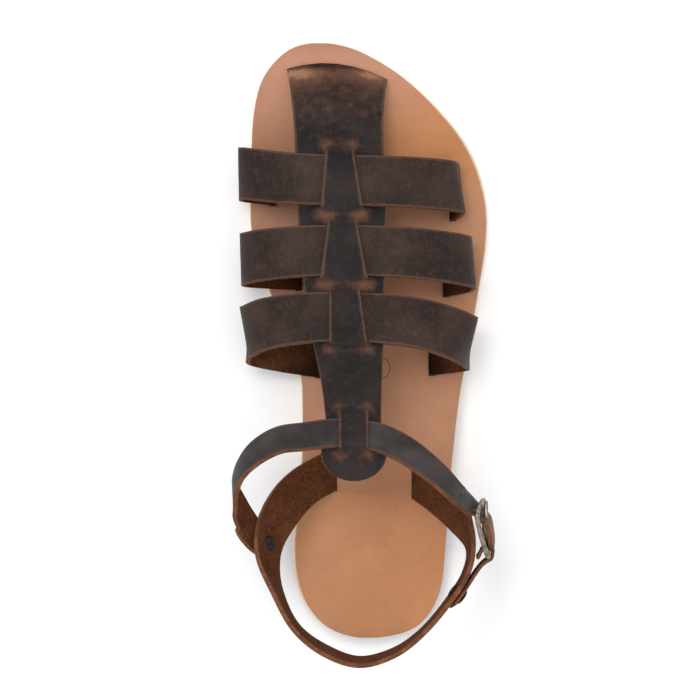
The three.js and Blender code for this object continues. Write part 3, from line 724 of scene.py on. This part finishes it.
def makeCrossStrap(strap):
    over = []
    for turn in (0, 0.08, 0.2, 0.35, 0.5, 0.65, 0.8, 0.92, 1):
        side = math.cos(math.pi * turn)
        bow = strap["bows"][0] * side ** strap["power"] if side > 0 else strap["bows"][1] * side * side
        at = strap["at"] + bow
        aim = lastPoint(turn, at + aimStep) - lastPoint(turn, at - aimStep)
        aim.z *= math.sin(math.pi * turn)
        over.append((lastPoint(turn, at), aim))
    inner = slotKnots(*strap["inner"], over[0][0])
    outer = slotKnots(*strap["outer"], over[-1][0])[::-1]
    rows, frames = bandRows(inner + over + outer, crossStraps["width"], 5, 8)
    middle = Vector((-0.003, strap["at"] * shoe["length"], 0.5 * crown(strap["at"])))
    uvSize = (crossStraps["width"], frames[-1]["run"])
    # the cross straps get painted shade just above their slots
    piece = layLeather(strap["name"], seatTails(rows), uvSize, middle, wearAndPaintedLightAt=paintedSeatShade)
    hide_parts("upper")
    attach(piece, "root")


for strap in crossStraps["straps"]:
    makeCrossStrap(strap)
print("cross straps laid")

# Centre strip: sides are shares of ballWidth, half widths of halfWidth, places shares of the length
centreStrip = {
    "halfWidth": 20 * mm,
    "tabWidth": 12 * mm,
    "lift": 2.05 * mm,
    "toeAt": 0.938,
    "toeBend": 0.012,
    "flapStart": 0.319,
    "flapEnd": 0.276,
    "toeSkew": 2.3 * mm,
    "toeArc": 4.6 * mm,
    "step": 0.0062,
    "tailAhead": 0.0052,
    "bendBack": 0.008,
    "bridged": 0.005,
    "bridgeReach": 2.2 * mm,
    "bridgePower": 1.6,
    "spot": 3.2 * mm,  # how far the wear reaches round a slit's end, a bridge and the toe
    "rubbedReach": 3.4 * mm,
    "rubbedHalf": 6 * mm,
    "toeReach": 13 * mm,
    "tabs": [  # front, back, front and back width
        (0.822, 0.709, 0.98, 1.60),
        (0.701, 0.593, 1.00, 1.78),
        (0.587, 0.485, 1.08, 1.40),
        (0.391, 0.320, 1.02, 1.02),
    ],
}
strip = curvesOf(("at", "centre", "half", "skew", "arc"), [
    (0.319, -0.052, 0.69, 0.0, 0.0),
    (0.351, -0.053, 0.60, 0.0, 0.0),
    (0.376, -0.054, 0.585, 0.0, 0.0),
    (0.434, -0.062, 0.655, 0.0, 0.0),
    (0.492, -0.074, 0.750, 0.0, 0.0),
    (0.590, -0.091, 0.870, 0.0, 0.0),
    (0.7055, -0.100, 0.975, 0.0, 0.0),
    (0.819, -0.112, 0.975, 0.0, 0.0),
    (0.868, -0.117, 0.99, -0.3, 0.4),
    (0.938, -0.123, 1.08, -1.0, 1.0),
])


def stripPoint(at, across, half, lift):
    # across is in metres from the strip's middle
    share = across / half if half > 0 else 0
    x = strip["centre"](at) * shoe["ballWidth"] + across
    skew = strip["skew"](at) * centreStrip["toeSkew"] * share
    arc = strip["arc"](at) * centreStrip["toeArc"] * (1 - share * share)
    return Vector((x, at * shoe["length"] + (skew + arc), footbed(at) + lastHeight(x, at) + lift))


def tabHalf(at):
    knots = []
    for front, back, wide, wideBack in centreStrip["tabs"]:
        knots += [(front, wide), (back, wideBack)]
    if at >= knots[0][0]:
        return knots[0][1] * centreStrip["tabWidth"] / 2
    for (a, va), (b, vb) in zip(knots, knots[1:]):
        if b <= at <= a:
            return (va + (vb - va) * (a - at) / (a - b)) * centreStrip["tabWidth"] / 2
    return knots[-1][1] * centreStrip["tabWidth"] / 2


tabLifts = curvesOf(("at", "lift"), [
    (0.300, -2.05), (0.312, -1.6), (0.320, -0.3), (0.329, 2.6), (0.352, 2.7), (0.381, 2.6), (0.391, -0.3),
    (0.398, -1.6), (0.410, -2.05), (0.455, -2.05), (0.470, -1.7), (0.485, -0.3), (0.494, 2.05), (0.536, 2.2),
    (0.579, 2.05), (0.590, 0.5), (0.6035, 2.05), (0.6468, 2.2), (0.690, 2.05), (0.705, 0.3), (0.7215, 2.05),
    (0.7635, 2.2), (0.806, 2.05), (0.822, -0.6), (0.840, -1.9), (0.868, -2.05),
])["lift"]
slitEnds = sorted(end for tab in centreStrip["tabs"] for end in tab[:2])


def tabLift(at):
    return tabLifts(at) * mm


def sideLift(at, share):
    # beside a slit the strip stays low, and near a slit's end it rises to the bridge
    low = -centreStrip["lift"]
    inSlit = any(back < at < front for front, back, *_ in centreStrip["tabs"])
    end = min(slitEnds, key=lambda place: abs(place - at)) if inSlit else at
    fade = math.exp(-((at - end) * shoe["length"] / centreStrip["bridgeReach"]) ** 2)
    return low + (tabLift(end) - low) * fade * (1 - share) ** centreStrip["bridgePower"]


def makeCentreStrip():
    c = centreStrip
    zone = 4  # faces across each of the strip's two sides and its tab
    low = -c["lift"]
    stations = []  # place along the strip, and the share of the half width that is left
    at = c["toeAt"] - c["toeBend"]
    while at > c["flapStart"]:
        stations.append((at, 1))
        at -= c["step"]
    stations.append((c["flapStart"], 1))
    flap = c["flapEnd"] - c["flapStart"]
    for share in (0.2, 0.4, 0.57, 0.7, 0.8, 0.88, 0.94, 0.975, 0.995):
        stations.append((c["flapStart"] + flap * share, math.sqrt(1 - share * share)))

    def columnsAt(at, left):
        half = strip["half"](max(at, c["flapStart"])) * c["halfWidth"]
        tab = min(tabHalf(at), 0.8 * half)
        across = [-half + (half - tab) * j / zone for j in range(zone)]
        across += [-tab + 2 * tab * j / zone for j in range(zone)]
        across += [tab + (half - tab) * j / zone for j in range(zone + 1)]
        return half * left, [x * left for x in across]

    half, toeColumns = columnsAt(c["toeAt"], 1)
    rows, places = [], []
    for level in (-tailDepth, 0, mouthRise):
        line = [stripPoint(c["toeAt"] + c["tailAhead"], x, half, 0) for x in toeColumns]
        rows.append([Vector((p.x, p.y, footbed(p.y / shoe["length"]) + level)) for p in line])
        places.append(1)
    bendTop = c["toeAt"] - c["bendBack"]
    for ahead, height in ((0.0035, 0.13), (0.002, 0.30), (0.0, 0.50), (-0.0035, 0.72), (-0.0075, 0.89)):
        line = [stripPoint(bendTop, x, half, low) for x in toeColumns]
        base = footbed(c["toeAt"]) + mouthRise
        forward = (c["toeAt"] + ahead - bendTop) * shoe["length"]
        rows.append([Vector((p.x, p.y + forward, base + (p.z - base) * height)) for p in line])
        places.append(1)
    for at, left in stations:
        half, across = columnsAt(at, left)
        shares = [max(zone - j, j - 2 * zone, 0) / zone for j in range(3 * zone + 1)]
        rows.append([stripPoint(at, x, half, sideLift(at, share)) for x, share in zip(across, shares)])
        places.append(at)

    def lifted(i, j):
        at = places[i]
        if at >= 1:
            return rows[i][j]
        left = next((share for place, share in stations if place == at), 1)
        half, across = columnsAt(at, left)
        return stripPoint(at, across[j], half, tabLift(at))

    def isCut(i):
        if i + 1 >= len(places) or places[i] >= 1:
            return False
        middle = (places[i] + places[i + 1]) / 2
        return any(back + c["bridged"] < middle < front - c["bridged"] for front, back, *_ in c["tabs"])

    ends = []
    for front, back, wide, wideBack in c["tabs"]:
        for place, share in ((front, wide), (back, wideBack)):
            for side in (-1, 1):
                across = side * share * c["tabWidth"] / 2
                ends.append(stripPoint(place, across, strip["half"](place) * c["halfWidth"], 0))

    # places along the strip, and how far each is rubbed; on the toe bends the paleness is also painted
    # highlight
    bridges = [(0.7045, 0.35), (0.5895, 0.35), (0.826, 0.3), (0.481, 0.25), (0.396, 0.2), (0.316, 0.2)]
    bendsRubbedAndLit = [(0.945, 2.1), (0.925, 0.45)]

    def wearAndPaintedLightAt(p):
        # darkest brown at the slit ends, and a paler band over each bridge and the bend at the toe; on the
        # bend the band is partly pull-up wear and partly a painted highlight
        spots = sum(math.exp(-((p - e).length / c["spot"]) ** 2) for e in ends)
        at = p.y / shoe["length"]
        across = (p.x - strip["centre"](at) * shoe["ballWidth"]) / c["rubbedHalf"]

        def near(place, reach):
            return math.exp(-((at - place) * shoe["length"] / reach) ** 2)

        def rubbed(places):
            return sum(amount * near(place, c["rubbedReach"]) for place, amount in places)

        toe = 0.3 * near(0.895, c["toeReach"])
        outer = 0.3 + 0.35 * min(1, (across / 2.4) ** 2)  # the bend's wear and painted highlight are palest near its two ends
        slits = min(1.0, 0.68 * spots + 0.6 * rubbed(bridges) * math.exp(-across**4))
        return min(1.6, toe + slits + outer * rubbed(bendsRubbedAndLit))

    piece = layLeather(
        "centre_strip", rows, (2 * c["halfWidth"], 0.19), (0, 0.13, 0), blackHide,
        slit={"columns": (zone, 2 * zone), "isCut": isCut, "lifted": lifted}, wearAndPaintedLightAt=wearAndPaintedLightAt,
    )
    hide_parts("upper")
    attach(piece, "root")


makeCentreStrip()
print("centre strip laid")

# Heel band: side is a share of ankleSpan, at of the length, height of ankleHeight above the heel's footbed
heelSeat = footbed(0.1)


def knot(side, at, height, aim, wide=1):
    x, y, z = side * shoe["ankleSpan"], at * shoe["length"], heelSeat + height * shoe["ankleHeight"]
    return (Vector((x, y, z)), Vector(aim), wide)


heelBand = {
    "width": 18 * mm,
    "perKnot": 6,  # rows laid from one knot to the next
    "innerRivet": (5, 2),  # the knot that a rivet follows, and by how many rows
    "outerRivet": (13, 2),
    "innerSlot": (-0.140, 0.283),
    "outerSlot": (0.211, 0.269),
    "knots": [
        knot(-0.255, 0.260, 0.20, (-0.55, 0.70, 0.40)),
        knot(-0.338, 0.229, 0.37, (-0.66, 0.60, 0.38)),
        knot(-0.403, 0.182, 0.54, (-0.58, 0.46, 0.66)),
        knot(-0.411, 0.142, 0.63, (-0.46, 0.20, 0.86)),
        knot(-0.368, 0.090, 0.69, (-0.12, -0.03, 0.99)),
        knot(-0.290, 0.036, 0.74, (-0.04, -0.06, 1)),
        knot(-0.168, 0.000, 0.77, (-0.04, -0.10, 0.99)),
        knot(-0.030, -0.017, 0.78, (0, -0.09, 1)),
        knot(0.110, -0.003, 0.77, (0, -0.05, 1)),
        knot(0.221, 0.027, 0.74, (0, -0.02, 1)),
        knot(0.335, 0.076, 0.69, (0.02, 0, 1)),
        knot(0.416, 0.126, 0.63, (0.04, 0, 1)),
        knot(0.434, 0.172, 0.55, (0.10, 0.06, 0.99)),
        knot(0.388, 0.214, 0.42, (0.45, 0.40, 0.80)),
        knot(0.310, 0.246, 0.24, (0.60, 0.62, 0.50)),
    ],
}


def heelSlotKnots(side, at):
    base = footbed(at) - heelSeat
    levels = (-tailDepth, 0, mouthRise)
    return [knot(side, at, (base + level) / shoe["ankleHeight"], (0, 1, 0)) for level in levels]


heelKnots = [
    *heelSlotKnots(*heelBand["innerSlot"]),
    *heelBand["knots"],
    *heelSlotKnots(*heelBand["outerSlot"])[::-1],
]
heelRows, heelFrames = bandRows(heelKnots, heelBand["width"], heelBand["perKnot"])


def heelFrame(knotNumber, extra=0):
    return heelFrames[knotNumber * heelBand["perKnot"] + extra]


innerRivet, outerRivet = heelFrame(*heelBand["innerRivet"]), heelFrame(*heelBand["outerRivet"])
ankleAxis = (0.0, 0.055, 0.06)
heelUv = (heelBand["width"], heelFrames[-1]["run"])
heelPiece = layLeather("heel_band", seatTails(heelRows), heelUv, ankleAxis)
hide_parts("heel_strap")
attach(heelPiece, "root")
print("heel band laid")

# Buckle's own place and turn
buckle = {
    "length": 24.4 * mm,
    "wire": 2.4 * mm,
    "prong": 1.8 * mm,
    "strapWidth": 12.5 * mm,
    "strapThickness": 1.6 * mm,
    "leather": 1.5 * mm,
    "gap": 0.3 * mm,
    "centre": knot(0.484, 0.196, 0.715, (0, 0, 1))[0],
    "back": Vector((0.15, -0.955, -0.29)).normalized(),
    "twist": -0.14,
    "foldLean": 0.85,
    "foldNarrowing": 0.44,
}
buckleUp = Vector((-0.12, -0.22, 0.95))
buckleUp = (buckleUp - buckle["back"] * buckleUp.dot(buckle["back"])).normalized()
buckleOut = buckleUp.cross(buckle["back"]).normalized()
wireRadius = buckle["wire"] / 2
prongRadius = buckle["prong"] / 2
limb = buckle["length"] / 2 - wireRadius


def inBuckle(back, up, out):
    # the buckle is twisted a little from its front limb to its rear one
    turn = buckle["twist"] * min(max(back / limb, -1), 1)
    c, s = math.cos(turn), math.sin(turn)
    upwards, outwards = buckleUp * (up * c + out * s), buckleOut * (out * c - up * s)
    return buckle["centre"] + buckle["back"] * back + upwards + outwards


def makeBuckleStrap():
    b = buckle
    stand = nodeThickness / 2 + b["strapThickness"] / 2 + 2 * b["gap"]
    turn = wireRadius + 2.4 * b["gap"] + b["strapThickness"] / 2
    cosine, sine = math.cos(b["foldLean"]), math.sin(b["foldLean"])

    def lying(station):
        return (station["place"] + station["out"] * stand, station["across"], 1)

    def around(along, out):
        place = inBuckle(limb + along * cosine + out * sine, 0, out * cosine - along * sine)
        return (place, buckleUp, b["foldNarrowing"])

    # on the heel band, then round the buckle's rear limb and back under itself
    rows, frames = bandRows([
        lying(heelFrame(heelBand["outerRivet"][0])), lying(outerRivet),
        around(6.5 * mm, 0.6 * turn), around(3 * mm, 0.75 * turn), around(0, turn),
        around(-turn, 0), around(0, -turn), around(2.6 * mm, -0.8 * turn), around(4.6 * mm, -0.7 * turn),
    ], b["strapWidth"])
    uvSize = (b["strapWidth"], frames[-1]["run"])
    piece = layLeather("buckle_tab", rows, uvSize, ankleAxis, thickness=b["leather"])
    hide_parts("buckle_strap")
    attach(piece, "root")


makeBuckleStrap()

# Ankle band: from its free end out through the buckle, over the instep to the inner rivet
ankleBand = {
    "width": 12.7 * mm,
    "stand": nodeThickness + 0.3 * mm,
    "perKnot": 8,
    "holeKnot": 6,  # the holes are measured from this knot
    "firstHole": 2.5 * mm,
    "holeSpacing": 11.5 * mm,
    "holes": 3,
    "rubbedX": (49 * mm, 52 * mm),
    "rubbedY": (60 * mm, 63 * mm),
}


def makeAnkleBand():
    b = buckle
    overProng = prongRadius + nodeThickness / 2 + 2 * b["gap"]
    underLimb = -(wireRadius + 4 * b["gap"] + nodeThickness / 2)
    rivet = innerRivet
    lean = 0.15
    forward = (rivet["across"] - rivet["ahead"] * lean).normalized()
    edgeAim = (rivet["ahead"] + rivet["across"] * lean).normalized()

    def ring(back, out, wide=1):
        return (inBuckle(back * b["length"], 0, out), buckleUp, wide)

    def onHeel(ahead, extra):
        stand = ankleBand["stand"] + extra * mm
        return (rivet["place"] + rivet["out"] * stand + forward * ahead * mm, edgeAim, 1)

    def onLast(side, at):
        def touch(place):
            x = side * shoe["ankleSpan"]
            return Vector((x, place * shoe["length"], footbed(place) + lastHeight(x, place)))

        return (touch(at), touch(at - aimStep) - touch(at + aimStep), 1)

    knots = [
        ring(0.33, overProng, 0.5), ring(0.24, overProng, 0.95), ring(0.06, overProng),
        ring(-0.13, 0.8 * overProng), ring(-0.29, 0.3 * underLimb, 0.95),
        (inBuckle(-limb, 0, underLimb), buckleUp, 0.95),
        knot(0.388, 0.247, 0.835, (-0.34, -0.34, 0.88)),
        knot(0.287, 0.286, 0.91, (-0.46, -0.50, 0.73)),
        knot(0.164, 0.323, 0.955, (-0.28, -0.82, 0.50)),
        onLast(0.060, 0.343), onLast(-0.050, 0.350), onLast(-0.150, 0.351),
        knot(-0.250, 0.346, 0.945, (0.14, -0.88, 0.46)),
        knot(-0.360, 0.340, 0.925, (0.36, -0.74, 0.57)),
        knot(-0.454, 0.319, 0.895, (0.42, -0.52, 0.74)),
        knot(-0.518, 0.290, 0.85, (0.30, -0.22, 0.93)),
        knot(-0.544, 0.257, 0.79, (0.10, -0.15, 0.98)),
        knot(-0.534, 0.234, 0.69, (-0.25, -0.50, 0.83)),
        knot(-0.503, 0.205, 0.575, (-0.28, -0.84, 0.47)),
        onHeel(5, 1.6), onHeel(0, 0), onHeel(-5, 0),
    ]
    rows, frames = bandRows(knots, ankleBand["width"], ankleBand["perKnot"])
    runs = [f["run"] for f in frames]
    middleColumn = 3
    holes = set()
    for k in range(ankleBand["holes"]):
        start = runs[ankleBand["holeKnot"] * ankleBand["perKnot"]]
        target = start + ankleBand["firstHole"] - k * ankleBand["holeSpacing"]
        holes.add((min(range(len(runs)), key=lambda i: abs(runs[i] - target)), middleColumn))

    def wearAndPaintedLightAt(p):
        # the free end is rubbed brown where it is drawn through the buckle
        return 0.9 * smooth(p.x, *ankleBand["rubbedX"]) * (1 - smooth(p.y, *ankleBand["rubbedY"]))

    uvSize = (ankleBand["width"], runs[-1])
    # the ankle band takes the black hide painted lighter as sheen
    piece = layLeather(
        "ankle_band", rows, uvSize, ankleAxis, sheenedBlackHide, wearAndPaintedLightAt=wearAndPaintedLightAt, holes=holes,
    )
    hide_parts("ankle_strap")
    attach(piece, "root")


makeAnkleBand()
print("buckle and ankle straps laid")

# Sole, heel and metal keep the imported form, with their edges joined and smoothed
joinWithin = 0.000002
copies = {
    "footbed": ("insole", "insole_leather"),
    "under_sole": ("outsole", "sole_leather"),
    "heel_block": ("heel", "heel_leather"),
    "buckle_ring": ("buckle_frame", "aged_brass"),
    "buckle_tongue": ("buckle_prong", "aged_brass"),
    "inner_rivet": ("rivet_inner", "aged_brass"),
    "outer_rivet": ("rivet_outer", "aged_brass"),
}


def copyOf(name, materials, angle=35, finer=0):
    node, slot = copies[name]
    piece = bpy.data.objects.new(name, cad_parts[node].data.copy())
    bpy.context.scene.collection.objects.link(piece)
    makeActive(piece)
    bpy.ops.object.mode_set(mode="EDIT")
    bpy.ops.mesh.select_all(action="SELECT")
    bpy.ops.mesh.remove_doubles(threshold=joinWithin)
    bpy.ops.object.mode_set(mode="OBJECT")
    piece.data.materials.clear()
    for material in materials:
        piece.data.materials.append(material)
    if finer:
        rounder = piece.modifiers.new("rounder", "SUBSURF")
        rounder.levels = rounder.render_levels = finer
        applyAll(piece)
    bpy.ops.object.shade_smooth_by_angle(angle=math.radians(angle))
    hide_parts(node)
    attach(piece, "root")
    return piece


insoleEdge = soleLeather("shoulder, cut and dressed", "#c99570", "#a87250")
footbedPiece = copyOf("footbed", [tannedInsole(), insoleEdge])
for face in footbedPiece.data.polygons:
    face.material_index = 0 if face.normal.z > 0.5 else 1
copyOf("under_sole", [soleLeather("oak-bark sole leather, dressed", "#e8d2b2", "#cfae84")])
copyOf("heel_block", [soleLeather("sole leather, stacked", "#8a5c3f", "#5d3b28", 2.6 * mm)])
for name in ("buckle_ring", "buckle_tongue"):
    copyOf(name, [brassMaterial], 50, 1 if name == "buckle_ring" else 0)
for name in ("inner_rivet", "outer_rivet"):
    copyOf(name, [rivetMaterial], 50)
print("sole and metal dressed")

print("sandal ready")
